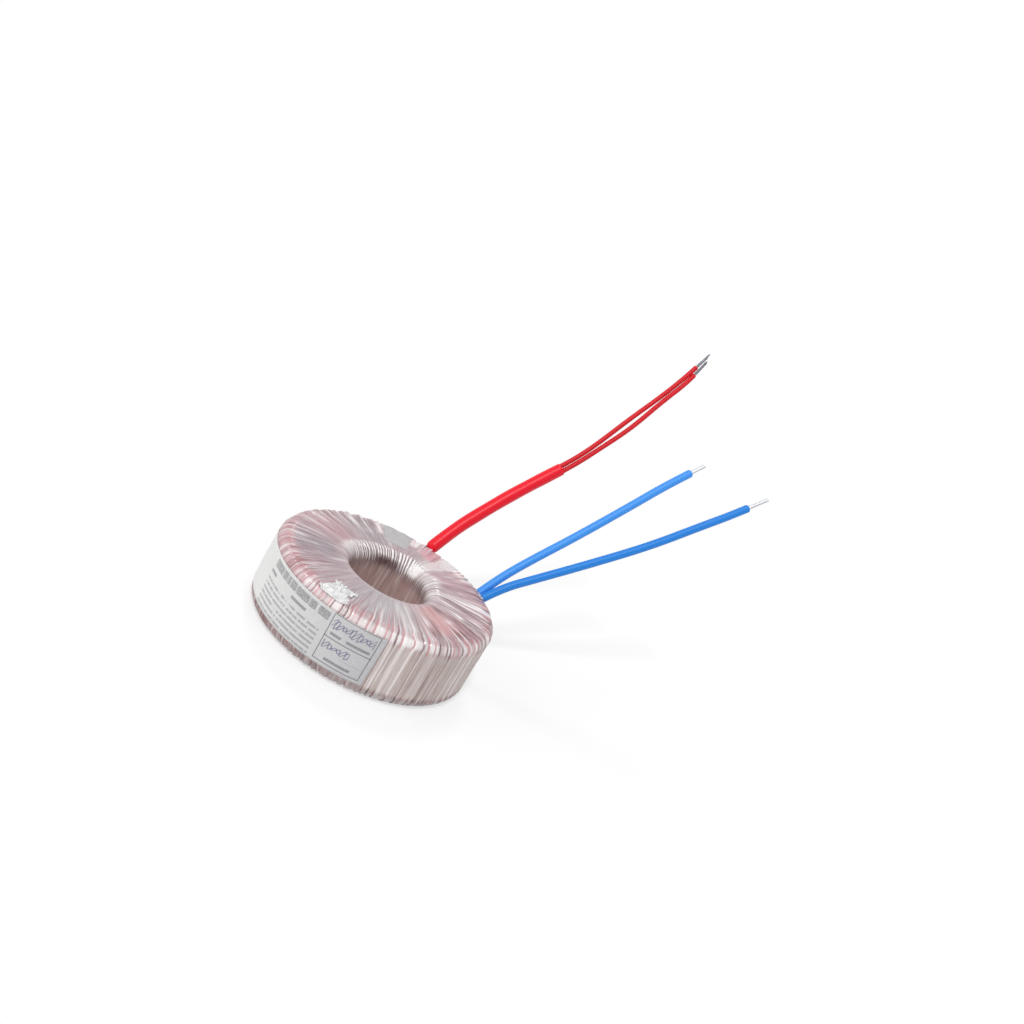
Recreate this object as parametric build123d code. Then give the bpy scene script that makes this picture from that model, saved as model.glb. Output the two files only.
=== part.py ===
from build123d import *
import os
from math import atan2, cos, degrees, radians, sin, tan
from typing import NamedTuple

# Toroidal mains transformer, lying on its underside. Millimetres, +Z up. The origin is on the
# axis of the ring, in the plane that it rests on. Azimuths are degrees from +X about +Z.

# ---- Finished ring ----
OUTSIDE_DIAMETER = 96.0
HEIGHT = 31.0
BORE_DIAMETER = 34.0
RIM_RADIUS = 4.5
LIP_RADIUS = 5.5

# ---- Outer film: turns of polyester film wound through the bore, each lapped over the last ----
LAPS = 54
LAP_STEP = 0.6
LAP_PRESSED_FLAT = 0.2
BORE_TRIM = 0.45
CREASES_AT_A_TURN = 3
FILM_AT_RIM = 0.5
FILM_AT_BORE = 1.2
FILM_AT_FACE = 0.5

# ---- Layers under the film, each with its thickness at the rim, the bore and the two faces ----
LAYER_CLEARANCE = 0.1
RIM_CHAMFER = 2.0
LIP_CHAMFER = 2.4
SECONDARY_AT_RIM = 1.3
SECONDARY_AT_BORE = 2.5
SECONDARY_AT_FACE = 1.7
INTERWINDING_AT_RIM = 0.3
INTERWINDING_AT_BORE = 0.8
INTERWINDING_AT_FACE = 0.5
PRIMARY_AT_RIM = 1.2
PRIMARY_AT_BORE = 2.4
PRIMARY_AT_FACE = 1.6
END_RING_THICKNESS = 1.0
CORE_SIDE_CLEARANCE = 0.5

# ---- Patches that lie on the film ----
PATCH_SEAT = 0.05
LABEL_THICKNESS = 0.2
LABEL_BOTTOM = 5.0
LABEL_TOP = 27.0
LABEL_END_AZIMUTH = 163.0
LABEL_START_AZIMUTH = 283.5
LABEL_END_SLANT = 2.0
TAPE_THICKNESS = 0.25
TAPE_OVER_RIM = 3.0
GREY_TAPE_AZIMUTH = 98.5
GREY_TAPE_WIDTH = 19.0
GREY_TAPE_INNER_RADIUS = 29.0
EXIT_TAPE_AZIMUTH = 62.0
EXIT_TAPE_WIDTH = 10.0
EXIT_TAPE_INNER_RADIUS = 23.0
FRONT_TAPE_AZIMUTH = 250.5
FRONT_TAPE_WIDTH = 14.0
FRONT_TAPE_INNER_RADIUS = 35.0

# ---- Leads ----
LEAD_CLEARANCE = 0.15
COLLAR_WALL = 0.7
COLLAR_HEIGHT = 1.0
COLLAR_ROOT = 2.0
RIDGE_RADIUS = 5.0
RIDGE_HEIGHT = 1.8
RIDGE_INNER_RADIUS = 22.0
RIDGE_OUTER_RADIUS = 41.0
RED_SLEEVE_DIAMETER = 5.6
RED_SLEEVE_BORE = 5.0
RED_LEAD_DIAMETER = 2.3
RED_LEAD_SPACING = 2.44
RED_WIRE_DIAMETER = 1.2
RED_BARE_LENGTH = 9.0
SPLICE_LENGTH = 6.0
SPLICE_DIAMETER = 2.2
SPLICE_SETBACK = 0.4
BLUE_LEAD_DIAMETER = 3.6
BLUE_WIRE_DIAMETER = 1.4
BLUE_BARE_LENGTHS = (8.0, 11.0)
RUN_SHARE_OF_ARC = 0.45

# Each route starts at the winding, on the rim, and ends at the tip of the bare wire.
RED_SLEEVE_ROUTE = [(9.2, 45.4, 29.7), (16.9, 56.5, 44.7), (30.5, 71.2, 63.1), (44.4, 85.0, 80.4)]
RED_TAIL_ROUTES = [
    [(46.6, 88.4, 84.9), (56.6, 98.9, 104.6), (69.2, 113.1, 129.4), (81.3, 127.3, 154.6)],
    [(48.7, 87.9, 83.8), (61.0, 99.9, 105.4), (74.4, 115.1, 133.0), (81.6, 125.4, 151.2)],
]
RED_LEAD_SIDE = (-0.870, 0.195, 0.452)
BLUE_ROUTES = [
    [(36.6, 28.4, 30.0), (44.0, 37.1, 41.7), (59.0, 51.2, 60.2), (82.0, 73.7, 89.8), (101.5, 92.1, 113.8)],
    [(38.8, 25.2, 30.0), (46.2, 31.6, 38.2), (64.0, 42.6, 51.8), (96.5, 63.8, 78.2),
     (117.5, 79.2, 97.6), (135.0, 92.5, 114.6)],
]


class Ring(NamedTuple):
    """The rectangle that a ring's section fills, from its bore to its rim."""
    bore_radius: float
    rim_radius: float
    bottom: float
    top: float


def inset(ring, at_bore, at_rim, at_face):
    return Ring(ring.bore_radius + at_bore, ring.rim_radius - at_rim,
                ring.bottom + at_face, ring.top - at_face)


def grown(ring, distance):
    return inset(ring, -distance, -distance, -distance)


def section(ring, plane=Plane.XZ):
    """The square-cornered section of a ring, in an upright plane."""
    middle = Pos((ring.bore_radius + ring.rim_radius) / 2, (ring.bottom + ring.top) / 2)
    return plane * middle * Rectangle(ring.rim_radius - ring.bore_radius, ring.top - ring.bottom)


def creased_corner(centre_x, centre_z, radius, first_angle):
    """Points round a quarter turn, where the film folds into a few narrow flats."""
    angles = [radians(first_angle + 90 * crease / CREASES_AT_A_TURN)
              for crease in range(CREASES_AT_A_TURN + 1)]
    return [(centre_x + radius * cos(angle), centre_z + radius * sin(angle)) for angle in angles]


def creased_section(ring, plane=Plane.XZ, growth=0.0):
    """The ring's section with its rim and lips turned over in creases."""
    rim = RIM_RADIUS + growth
    lip = LIP_RADIUS + growth
    outline = creased_corner(ring.rim_radius - rim, ring.bottom + rim, rim, -90)
    outline += creased_corner(ring.rim_radius - rim, ring.top - rim, rim, 0)
    outline += creased_corner(ring.bore_radius + lip, ring.top - lip, lip, 90)
    outline += creased_corner(ring.bore_radius + lip, ring.bottom + lip, lip, 180)
    return plane * make_face(Polyline(*outline, close=True))


def chamfered_section(ring, plane=Plane.XZ):
    """The ring's section with flats across its lips and its rim."""
    lips = section(ring, plane).vertices().sort_by(Axis.X)[:2]
    softened = chamfer(lips, LIP_CHAMFER)
    return chamfer(softened.vertices().sort_by(Axis.X)[-2:], RIM_CHAMFER)


def shell(outer_section, inner_ring):
    return revolve(outer_section - section(inner_ring), Axis.Z)


NOMINAL = Ring(BORE_DIAMETER / 2, OUTSIDE_DIAMETER / 2, 0.0, HEIGHT)
FILM_LAYER = (FILM_AT_BORE, LAP_STEP + FILM_AT_RIM, LAP_STEP + FILM_AT_FACE)
SECONDARY_LAYER = (SECONDARY_AT_BORE, SECONDARY_AT_RIM, SECONDARY_AT_FACE)
INTERWINDING_LAYER = (INTERWINDING_AT_BORE, INTERWINDING_AT_RIM, INTERWINDING_AT_FACE)
PRIMARY_LAYER = (PRIMARY_AT_BORE, PRIMARY_AT_RIM, PRIMARY_AT_FACE)
CORE_LAYER = (CORE_SIDE_CLEARANCE, CORE_SIDE_CLEARANCE, END_RING_THICKNESS)


def beneath(ring, layer):
    """The ring that fits inside a layer, clear of it all round."""
    return inset(inset(ring, *layer), LAYER_CLEARANCE, LAYER_CLEARANCE, LAYER_CLEARANCE)


WINDING_SPACE = inset(NOMINAL, *FILM_LAYER)
SECONDARY = beneath(NOMINAL, FILM_LAYER)
INTERWINDING = beneath(SECONDARY, SECONDARY_LAYER)
PRIMARY = beneath(INTERWINDING, INTERWINDING_LAYER)
CORE_SPACE = beneath(PRIMARY, PRIMARY_LAYER)
CORE = beneath(CORE_SPACE, CORE_LAYER)


# ---- Core, insulation and windings ----
def core_end_ring(upper):
    """A flat insulating ring between one end of the core and the winding round it."""
    bottom = CORE_SPACE.top - END_RING_THICKNESS if upper else CORE_SPACE.bottom
    return revolve(section(CORE_SPACE._replace(bottom=bottom, top=bottom + END_RING_THICKNESS)), Axis.Z)


def secondary_winding():
    return shell(chamfered_section(SECONDARY), inset(SECONDARY, *SECONDARY_LAYER))


# ---- Outer film ----
def film_lap():
    """One turn of film, thinning from its proud edge down to where the next turn covers it."""
    half_angle = radians(180 / LAPS)
    half_width = NOMINAL.rim_radius * tan(half_angle)
    proud = Ring(NOMINAL.bore_radius - BORE_TRIM, NOMINAL.rim_radius * cos(half_angle),
                 -LAP_PRESSED_FLAT, NOMINAL.top)
    edge = Plane.XZ.offset(half_width)
    fall = degrees(atan2(LAP_STEP, 2 * half_width))
    turn = extrude(creased_section(proud, edge), 2 * half_width, dir=(0, 1, 0), taper=fall)
    turn -= extrude(chamfered_section(WINDING_SPACE, edge), 2 * half_width, dir=(0, 1, 0))
    reach = OUTSIDE_DIAMETER
    sector = make_face(Polyline((0, 0), (reach, -reach * tan(half_angle)), (reach, reach * tan(half_angle)),
                                close=True))
    return turn & extrude(Plane.XY.offset(-HEIGHT) * sector, 3 * HEIGHT)


def first_run(route):
    """The plane at a route's start that its first run leaves at right angles."""
    start = Vector(*route[0])
    return Plane(origin=start, z_dir=Vector(*route[1]) - start)


def azimuth_of(points):
    middle = sum((Vector(*point) for point in points), Vector()) / len(points)
    return Vector(1, 0, 0).get_signed_angle(Vector(middle.X, middle.Y, 0), Vector(0, 0, 1))


def lead_ridge(azimuth):
    """The round-ended hump that the lead-outs raise in the film between bore and rim."""
    height = HEIGHT + RIDGE_HEIGHT - RIDGE_RADIUS
    length = RIDGE_OUTER_RADIUS - RIDGE_INNER_RADIUS
    centre = Pos(RIDGE_INNER_RADIUS + length / 2, 0, height)
    hump = centre * Rot(Y=90) * Cylinder(RIDGE_RADIUS, length)
    hump += [Pos(radius, 0, height) * Sphere(RIDGE_RADIUS)
             for radius in (RIDGE_INNER_RADIUS, RIDGE_OUTER_RADIUS)]
    return Rot(Z=azimuth) * hump


def collar(route, sleeve_diameter):
    """The neck of film that holds a sleeve where it leaves the rim."""
    radius = sleeve_diameter / 2 + LEAD_CLEARANCE + COLLAR_WALL
    middle = Pos(0, 0, (COLLAR_HEIGHT - COLLAR_ROOT) / 2)
    return first_run(route) * middle * Cylinder(radius, COLLAR_HEIGHT + COLLAR_ROOT)


def lead_hole(route, sleeve_diameter):
    radius = sleeve_diameter / 2 + LEAD_CLEARANCE
    return first_run(route) * Cylinder(radius, 2 * (COLLAR_HEIGHT + COLLAR_ROOT))


def outer_film_wrap():
    lap = film_lap()
    exits = [(RED_SLEEVE_ROUTE, RED_SLEEVE_DIAMETER)]
    exits += [(route, BLUE_LEAD_DIAMETER) for route in BLUE_ROUTES]
    raised = lead_ridge(azimuth_of([RED_SLEEVE_ROUTE[0]]))
    raised += lead_ridge(azimuth_of([route[0] for route in BLUE_ROUTES]))
    raised += [collar(route, diameter) for route, diameter in exits]
    raised -= revolve(chamfered_section(WINDING_SPACE), Axis.Z)
    film = raised + [Rot(Z=360 / LAPS * turn) * lap for turn in range(LAPS)]
    film -= Pos(0, 0, HEIGHT / 2) * Cylinder(NOMINAL.bore_radius, 2 * HEIGHT)
    film -= Pos(0, 0, -HEIGHT / 2) * Box(2 * OUTSIDE_DIAMETER, 2 * OUTSIDE_DIAMETER, HEIGHT)
    return film - [lead_hole(route, diameter) for route, diameter in exits]


# ---- Label and tapes ----
def patch(start_azimuth, end_azimuth, window, thickness):
    """A sheet that follows the film's section, as much of it as shows in a window."""
    face = PATCH_SEAT + thickness
    lower = creased_section(grown(NOMINAL, PATCH_SEAT), growth=PATCH_SEAT)
    strip = (creased_section(grown(NOMINAL, face), growth=face) - lower) & section(window)
    return Rot(Z=start_azimuth) * revolve(strip, Axis.Z, revolution_arc=end_azimuth - start_azimuth)


def spec_label():
    window = Ring(NOMINAL.rim_radius, OUTSIDE_DIAMETER, LABEL_BOTTOM, LABEL_TOP)
    sheet = patch(LABEL_END_AZIMUTH, LABEL_START_AZIMUTH, window, LABEL_THICKNESS)
    corner = Rot(Z=LABEL_START_AZIMUTH) * Pos(NOMINAL.rim_radius, 0, LABEL_TOP)
    beyond = Box(HEIGHT, HEIGHT, 3 * HEIGHT, align=(Align.CENTER, Align.MIN, Align.CENTER))
    return sheet - corner * Rot(X=-LABEL_END_SLANT) * beyond


def rim_tape(azimuth, width, inner_radius):
    """A strip of tape on the top face that folds a little way down over the rim."""
    window = Ring(inner_radius, OUTSIDE_DIAMETER, HEIGHT - TAPE_OVER_RIM, 2 * HEIGHT)
    return patch(azimuth - width / 2, azimuth + width / 2, window, TAPE_THICKNESS)


# ---- Leads ----
def shortened(route, length):
    """The route with its last run shorter by a length."""
    before, tip = Vector(*route[-2]), Vector(*route[-1])
    return [*route[:-1], tuple(tip - (tip - before).normalized() * length)]


def bend_radii(route):
    """The largest arc that each corner's two runs leave room for."""
    points = [Vector(*point) for point in route]
    runs = [after - before for before, after in zip(points, points[1:])]
    return [RUN_SHARE_OF_ARC * min(run.length, following.length)
            / tan(radians(run.get_angle(following)) / 2) for run, following in zip(runs, runs[1:])]


def tube(route, radii, diameter, bore=0.0):
    path = FilletPolyline(*route, radius=radii)
    wall = Circle(diameter / 2) - Circle(bore / 2) if bore else Circle(diameter / 2)
    return sweep(Plane(origin=path @ 0, z_dir=path % 0) * wall, path=path)


def lead(route, diameter):
    """An insulated lead, as one round rod along its route."""
    radii = bend_radii(route)
    print("bend radii", [round(radius) for radius in radii])
    return tube(route, radii, diameter)


def bare_end(route, covered, diameter):
    """The stripped end of the wire, from the end of its insulation to its tip."""
    start, tip = Vector(*covered[-1]), Vector(*route[-1])
    return Plane(origin=start, z_dir=tip - start) * Cylinder(
        diameter / 2, (tip - start).length, align=(Align.CENTER, Align.CENTER, Align.MIN))


def beside_axis(route, side):
    offset = Vector(*RED_LEAD_SIDE) * (side * RED_LEAD_SPACING / 2)
    return [tuple(Vector(*point) + offset) for point in route]


def primary_splice(side):
    """The joint between the end of the primary's wire and its flexible lead."""
    middle = Pos(0, 0, SPLICE_SETBACK + SPLICE_LENGTH / 2)
    start = first_run(beside_axis(RED_SLEEVE_ROUTE, side))
    return start * middle * Cylinder(SPLICE_DIAMETER / 2, SPLICE_LENGTH)


def red_lead_route(side, tail):
    """A thin lead's route: from its splice along the inside of the sleeve, then free to its tip."""
    inside = beside_axis(RED_SLEEVE_ROUTE[:-1], side)
    splice_end = first_run(inside) * Pos(0, 0, SPLICE_SETBACK + SPLICE_LENGTH)
    return [tuple(splice_end.position), *inside[1:], *tail]


def red_leads():
    radii = bend_radii(RED_SLEEVE_ROUTE)
    nodes = {"red_outer_sleeve": tube(RED_SLEEVE_ROUTE, radii, RED_SLEEVE_DIAMETER, RED_SLEEVE_BORE)}
    for number, (side, tail) in enumerate(zip((1, -1), RED_TAIL_ROUTES), 1):
        route = red_lead_route(side, tail)
        covered = shortened(route, RED_BARE_LENGTH)
        nodes[f"primary_splice_{number}"] = primary_splice(side)
        nodes[f"red_lead_{number}"] = lead(covered, RED_LEAD_DIAMETER)
        nodes[f"red_bare_end_{number}"] = bare_end(route, covered, RED_WIRE_DIAMETER)
    return nodes


def blue_leads():
    nodes = {}
    for number, (route, bare_length) in enumerate(zip(BLUE_ROUTES, BLUE_BARE_LENGTHS), 1):
        covered = shortened(route, bare_length)
        nodes[f"blue_lead_{number}"] = lead(covered, BLUE_LEAD_DIAMETER)
        nodes[f"blue_bare_end_{number}"] = bare_end(route, covered, BLUE_WIRE_DIAMETER)
    return nodes


def transformer():
    nodes = {
        "steel_core": revolve(section(CORE), Axis.Z),
        "core_end_ring_top": core_end_ring(upper=True),
        "core_end_ring_bottom": core_end_ring(upper=False),
        "primary_winding": shell(section(PRIMARY), inset(PRIMARY, *PRIMARY_LAYER)),
        "interwinding_film": shell(section(INTERWINDING), inset(INTERWINDING, *INTERWINDING_LAYER)),
        "secondary_winding": secondary_winding(),
        "outer_film_wrap": outer_film_wrap(),
        "spec_label": spec_label(),
        "grey_end_tape": rim_tape(GREY_TAPE_AZIMUTH, GREY_TAPE_WIDTH, GREY_TAPE_INNER_RADIUS),
        "lead_exit_tape": rim_tape(EXIT_TAPE_AZIMUTH, EXIT_TAPE_WIDTH, EXIT_TAPE_INNER_RADIUS),
        "front_rim_tape": rim_tape(FRONT_TAPE_AZIMUTH, FRONT_TAPE_WIDTH, FRONT_TAPE_INNER_RADIUS),
    }
    return nodes | red_leads() | blue_leads()


def write_parts(nodes):
    os.makedirs("parts", exist_ok=True)
    for name, shape in nodes.items():
        shape.label = name
        export_step(shape, f"parts/{name}.step")


if __name__ == "__main__":
    write_parts(transformer())
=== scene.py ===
from contextlib import contextmanager
from math import cos, pi, radians, sin, tan

import bpy
import numpy as np
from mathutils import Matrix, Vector


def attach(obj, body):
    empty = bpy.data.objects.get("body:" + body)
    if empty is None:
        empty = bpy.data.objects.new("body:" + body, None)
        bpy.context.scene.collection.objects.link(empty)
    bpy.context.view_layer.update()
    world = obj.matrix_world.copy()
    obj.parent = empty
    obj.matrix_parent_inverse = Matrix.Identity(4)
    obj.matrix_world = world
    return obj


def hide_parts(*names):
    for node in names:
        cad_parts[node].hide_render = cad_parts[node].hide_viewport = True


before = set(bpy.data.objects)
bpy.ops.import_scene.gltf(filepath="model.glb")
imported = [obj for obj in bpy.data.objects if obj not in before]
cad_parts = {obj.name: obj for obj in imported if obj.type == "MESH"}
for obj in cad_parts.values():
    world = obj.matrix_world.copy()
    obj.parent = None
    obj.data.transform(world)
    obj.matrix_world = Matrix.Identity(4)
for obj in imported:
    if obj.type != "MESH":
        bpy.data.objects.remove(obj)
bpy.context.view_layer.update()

# A toroidal mains transformer on its underside, in metres, with the axis of the ring on Z.
# Azimuths are degrees from +X about +Z.
MM = 0.001

# ---- Camera ----
CAMERA_PLACE = (0, -0.43915, 0.2206)
CAMERA_TURN = (69.451, -28.880, 6.439)
LENS = 41.48
SENSOR_WIDTH = 36

# ---- Ring: radii of its side wall and its bore, its height, and how its edges are rounded ----
RIM = 48.0 * MM
BORE = 17.0 * MM
TOP = 31.0 * MM
RIM_RADIUS = 4.5 * MM
LIP_RADIUS = 5.5 * MM
SIDE_FLAT = TOP - 2 * RIM_RADIUS
FACE_FLAT = RIM - RIM_RADIUS - BORE - LIP_RADIUS
BORE_FLAT = TOP - 2 * LIP_RADIUS

# The film's places are distances along the ring's section: from the middle of the side wall over the rim,
# across the face and down over the lip into the bore. The two halves of the ring are alike.
RIM_START = SIDE_FLAT / 2
FACE_START = RIM_START + RIM_RADIUS * pi / 2
LIP_START = FACE_START + FACE_FLAT
BORE_START = LIP_START + LIP_RADIUS * pi / 2
PATH_END = BORE_START + BORE_FLAT / 2

# How finely the film is divided: round the ring, round each edge of the section and across its flats.
COLUMNS = 1040
CORNER_SEGMENTS = 8
SIDE_CUTS = 17
FACE_CUTS = 15
BORE_CUTS = 9

# ---- Film relief: heights and depths, how far the label and tapes press it back, the deepest that any of it
# lies inside the full ring, and how turns lean over the lip and curl over the rim, in degrees ----
LAP_STEP = 0.55 * MM
CREASE_DEPTH = 0.8 * MM
WRINKLE_DEPTH = 0.22 * MM
LIP_PLEAT = 0.6 * MM
WORN_LIP = 0.5 * MM
PRESSED_BACK = 0.10 * MM
DEEPEST = 0.9 * MM
LIP_LEAN = 6.0
CURL = 1.3
CURL_LENGTH = 9 * MM

# Widths in columns: of laps, of fine wrinkles and of pleats on the lip, of the narrowest turn, of what may
# be left for the last one, and of the crease at a turn's edge.
LAP_COLUMNS = 12
WRINKLE_COLUMNS = 5
LIP_COLUMNS = 10
NARROWEST_TURN = 3
LEAST_LAST_TURN = 12
EDGE_COLUMNS = 1.3

# The wall leans inward towards its top on one side, from this radius and height on.
LEAN_IN = 0.75 * MM
LEAN_IN_MIDDLE = 170
LEAN_IN_SPREAD = 38
LEAN_IN_RADIUS = 36 * MM
LEAN_IN_HEIGHT = 12 * MM

# Each hump over the lead-outs: azimuth, height, half width, and where it starts and ends on the section.
HUMPS = ((78.6, 1.2 * MM, 3.4 * MM, 20 * MM, 37 * MM), (37.0, 1.9 * MM, 4.4 * MM, 21 * MM, 44.5 * MM))

# How the film changes round the ring: azimuths and the value at each.
LEAN_OF_LAPS = ((-180, 4.5), (-150, 4.5), (-120, 2), (-75, 0), (-35, -3), (10, -4), (45, 1), (90, 4),
                (125, 6.5), (150, 5.5))
CREASE_ROUND = ((-180, 0.5), (-140, 0.8), (-100, 0.8), (-60, 1.0), (-20, 1.0), (20, 0.6), (60, 0.25),
                (130, 0.8), (165, 0.6))
STREAK_ROUND = ((-180, 0.6), (-150, 0.9), (-115, 0.5), (-75, 0.45), (-45, 1.6), (-20, 2.4), (15, 2.4),
                (35, 1.1), (75, 0.4), (110, 1.0), (140, 0.9), (165, 0.6))
# Painted highlight on the rim's pads, strongest towards the front.
PAD_HIGHLIGHT_ROUND = ((-180, 0.15), (-140, 0.25), (-118, 0.7), (-75, 1.0), (-45, 0.85), (-10, 0.5), (30, 0.3),
               (90, 0.5), (130, 0.35), (160, 0.15))
RIM_ROSE_ROUND = ((-180, 0.7), (-160, 1.0), (-125, 0.9), (-100, 0.35), (-60, 0.35), (-35, 0.8), (0, 0.6),
                  (50, 0.4), (130, 0.3), (160, 0.5))
LIP_PLEAT_ROUND = ((-180, 0.2), (-150, 0.06), (-90, 0.03), (-40, 0.06), (0, 0.12), (50, 0.4), (75, 1.0),
                   (145, 1.0), (165, 0.5))

# Azimuths with something of their own: wide laps at the back, narrow ones and a dull coat on the left,
# a worn stretch of the far lip with painted shade, a pale one beside the lead-outs, and a fan of dark
# streaks.
WIDE_LAPS = 122
BACK = 125
NARROW_LAPS = -150
DULL_SIDE = -170
FAR_LIP = 103
PALE_LIP = 65
DARK_FAN = -17

# ---- Film colours ----
MAUVE = (170, 149, 155)
SLATE = (132, 124, 134)
SILVER = (172, 167, 170)
ROSE = (182, 134, 140)
SALMON = (204, 154, 155)
PINK = (206, 158, 168)
MAROON = (96, 58, 58)
CREASE = (206, 128, 134)
# A milky white for the film's own pale streaks, also used as painted highlight on crests, pads and the lip.
MILKY_WHITE_AND_HIGHLIGHT = (250, 245, 245)
TAUPE = (182, 152, 147)
BROWN = (96, 68, 68)
DUSK = (132, 106, 104)
BEIGE = (190, 175, 170)
# How fine the hair-like streaks are round the ring and along the turns.
HAIRS = 90
HAIRS_ALONG = 90
# Azimuth, spread, start and end on the section in millimetres, colour and strength.
FILM_ZONES = (
    (-162, 17, 21, 35, SLATE, 0.75),
    (-92, 24, 22, 39, SILVER, 0.75),
    (-66, 14, 20, 37, (188, 183, 185), 0.8),
    (-37, 15, 22, 38, SALMON, 0.9),
    (-15, 9, 18, 27, ROSE, 0.5),
    # Painted highlight: a glossy streak across the right of the face.
    (17, 5, 18, 36, MILKY_WHITE_AND_HIGHLIGHT, 0.35),
    (38, 15, 20, 38, PINK, 0.35),
    (63, 5, 18, 40, (226, 220, 220), 0.7),
    (74, 6, 17, 29, (214, 164, 172), 1.3),
    (64, 7, 30, 40, (222, 214, 214), 1.3),
    (122, 18, 20, 37, (150, 140, 144), 0.8),
    (160, 18, 22, 38, ROSE, 0.55),
    (56, 10, 13.5, 20, MILKY_WHITE_AND_HIGHLIGHT, 1.2),
    (86, 3, 13.5, 24, MILKY_WHITE_AND_HIGHLIGHT, 0.9),
    (111, 3, 13.5, 26, MILKY_WHITE_AND_HIGHLIGHT, 0.7),
    # Painted highlight: a white sheen on the lip over the hump at the lead-outs.
    (38, 11, 40, 46, MILKY_WHITE_AND_HIGHLIGHT, 0.45),
    (250, 32, 10.5, 12.4, MILKY_WHITE_AND_HIGHLIGHT, 1.6),
    # Painted highlight along the left stretch of the lip.
    (165, 14, 39.5, 42.5, MILKY_WHITE_AND_HIGHLIGHT, 0.6),
)

# ---- Label: its azimuths, its height on the wall, how far one lower corner is set back, its print ----
LABEL = (163.0, 283.5)
LABEL_LOW = 5.0 * MM
LABEL_HIGH = 27.0 * MM
LABEL_SET_BACK = (LABEL_HIGH - LABEL_LOW) * tan(radians(2))
LABEL_LENGTH = radians(LABEL[1] - LABEL[0]) * RIM
PRINT_ROW = 2.08
INK_EDGE = 0.15

# ---- Tapes: azimuths, radius where each begins on the face, how far it goes down the side wall (less than
# nothing where it ends on the rounded rim), and as far as where on the section it presses the film flat ----
GREY_TAPE = (89.0, 108.0)
GREY_TAPE_INNER = 29 * MM
GREY_TAPE_DOWN = -3.5 * MM
EXIT_TAPE = (57.0, 67.0)
EXIT_TAPE_INNER = 23 * MM
EXIT_TAPE_DOWN = -2 * MM
FRONT_TAPE = (243.5, 257.5)
FRONT_TAPE_INNER = 35 * MM
FRONT_TAPE_DOWN = -4 * MM
TAPES_PRESS = ((GREY_TAPE, 32 * MM), (EXIT_TAPE, 38 * MM), (FRONT_TAPE, 27 * MM))

# ---- Leads: their bare tips are held a little way inside the insulation, and necks of film start inside
# the rim with a little room round each lead ----
SLEEVE_DIAMETER = 5.6 * MM
SLEEVE_WALL = 0.45 * MM
RED_DIAMETER = 2.3 * MM
RED_SPACING = 2.44 * MM
RED_SIDE = Vector((-0.870, 0.195, 0.452))
RED_BARE = 9.0 * MM
RED_RIBS = 0.13 * MM
BUNDLE_DIAMETER = 1.5 * MM
STRAND_DIAMETER = 0.7 * MM
STRANDS = 4
STRAND_TURNS = 1.6
BLUE_DIAMETER = 3.6 * MM
BLUE_BARE = (8.0 * MM, 11.0 * MM)
BLUE_RIBS = (0.015 * MM, 0.05 * MM)
BLUE_WIRE = 1.7 * MM
RIB_PITCH = 1.0 * MM
RIB_CREST = 1.05
HELD_INSIDE = 1 * MM
SPLICE_END = 6.4 * MM
NECK_START = -3 * MM
NECK_WALL = 0.3 * MM
NECK_CLEARANCE = 0.45 * MM
# Routes of the leads in millimetres.
SLEEVE_ROUTE = [(9.2, 45.4, 29.7), (14.4, 53.2, 40.2), (21.9, 62.0, 51.3), (32.4, 73.4, 65.8),
                (44.4, 85.0, 80.4)]
RED_TAILS = [
    [(46.6, 88.4, 84.9), (53.3, 94.5, 95.9), (61.8, 104.1, 113.1), (70.8, 114.6, 129.1), (77.1, 121.1, 143.4),
     (81.3, 127.3, 154.55)],
    [(48.7, 87.9, 83.8), (56.1, 94.8, 95.9), (64.5, 102.7, 109.9), (71.5, 111.6, 126.3), (78.7, 119.6, 140.7),
     (81.6, 125.4, 151.2)],
]
BLUE_ROUTES = [
    [(36.6, 28.4, 30.0), (41.7, 34.7, 38.5), (49.8, 42.8, 49.1), (62.7, 54.7, 64.7), (78.6, 70.3, 85.2),
     (90.3, 81.9, 100.9), (101.5, 92.1, 113.8)],
    [(38.8, 25.2, 30.0), (44.6, 30.4, 36.8), (55.5, 37.2, 45.2), (74.4, 49.2, 59.9), (94.4, 62.2, 76.1),
     (111.3, 74.7, 91.9), (124.0, 83.9, 103.5), (135.0, 92.5, 114.6)],
]

# ---- Studio: the lamps' names, strengths, and widths, elevations and azimuths in degrees ----
LAMPS = (("key", 1.4, 10, 60, -100), ("back", 0.45, 12, 55, 100), ("side", 0.4, 30, 30, -160))
FLOOR_SIZE = 30
FLOOR_GLOW = 0.6
ROOM_LIGHT = 0.45
ROOM_SEEN = 0.55

rng = np.random.default_rng(7)


# ================ Camera ================
def add_camera():
    bpy.ops.object.camera_add(location=CAMERA_PLACE, rotation=[radians(turn) for turn in CAMERA_TURN])
    camera = bpy.context.object
    camera.data.lens = LENS
    camera.data.sensor_width = SENSOR_WIDTH
    bpy.context.scene.camera = camera
    bpy.context.scene.view_settings.view_transform = "Standard"


# ================ Finishes ================
class Value:
    """A number, colour or vector that varies over a surface, with Python's arithmetic for numbers."""

    def __init__(self, finish, socket):
        self.finish = finish
        self.socket = socket

    def math(self, operation, *others, clamp=False):
        settings = {"operation": operation, "use_clamp": clamp}
        return self.finish.node("Math", settings, dict(enumerate([self, *others])))

    def __add__(self, other):
        return self.math("ADD", other)

    def __sub__(self, other):
        return self.math("SUBTRACT", other)

    def __rsub__(self, other):
        return self.finish.node("Math", {"operation": "SUBTRACT"}, {0: other, 1: self})

    def __mul__(self, other):
        return self.math("MULTIPLY", other)

    def __truediv__(self, other):
        return self.math("DIVIDE", other)

    __radd__ = __add__
    __rmul__ = __mul__

    def clamped(self):
        return self.math("ADD", 0.0, clamp=True)

    def between(self, low, high, soft):
        """1 between low and high, falling to 0 over a soft edge outside them."""
        return ((self - low) / soft + 1).clamped() * ((high - self) / soft + 1).clamped()


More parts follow.
